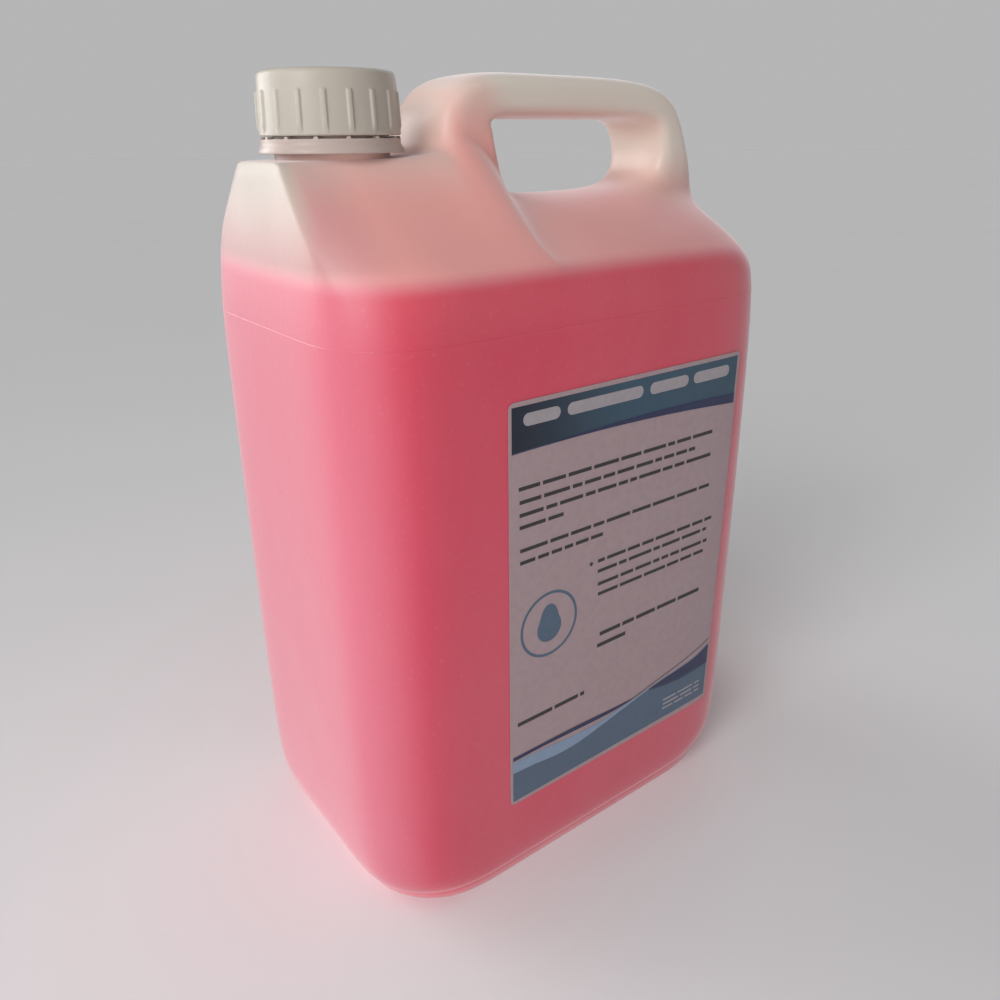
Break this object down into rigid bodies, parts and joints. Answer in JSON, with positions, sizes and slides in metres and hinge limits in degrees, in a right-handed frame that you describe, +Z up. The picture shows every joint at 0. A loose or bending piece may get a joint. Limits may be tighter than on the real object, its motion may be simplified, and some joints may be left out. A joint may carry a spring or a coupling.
{
  "type": "hand soap refill pack",
  "caption": "Five litre plastic jerrican of pink liquid hand soap with a moulded carrying handle, a screw cap with tamper ring and a plain printed label.",
  "frame": {"origin": "centre of the bounding box's base, where the foot stands", "axes": "+Z up, X along the handle with the neck at -X, the label faces -Y"},
  "size_m": [0.1882, 0.1215, 0.288],
  "materials": {
    "natural_plastic": "milky translucent blow-moulded polyethylene, satin",
    "cap_plastic": "off-white injection-moulded plastic, satin",
    "ring_plastic": "off-white injection-moulded plastic, satin",
    "wad_foam": "white foamed plastic sealing wad",
    "label_paper": "printed self-adhesive paper, semi-matt",
    "pink_soap": "pearly pink liquid"
  },
  "bodies": {
    "pack": {"bottle": "natural_plastic", "tamper_ring": "ring_plastic", "front_label": "label_paper", "soap_fill": "pink_soap"},
    "wad": {"cap_liner": "wad_foam"},
    "cap": {"screw_cap": "cap_plastic"}
  },
  "joints": [
    {"name": "cap_lift", "type": "slide", "parent": "pack", "child": "wad", "axis": [0, 0, 1], "range_m": [0, 0.0085]},
    {"name": "cap_turn", "type": "hinge", "parent": "wad", "child": "cap", "pos_m": [-0.0637, 0, 0.275], "axis": [0, 0, 1], "range_deg": [0, 720]}
  ],
  "couplings": [
    {"joint": "cap_lift", "follows": "cap_turn", "m_per_rad": 0.00067322}
  ]
}
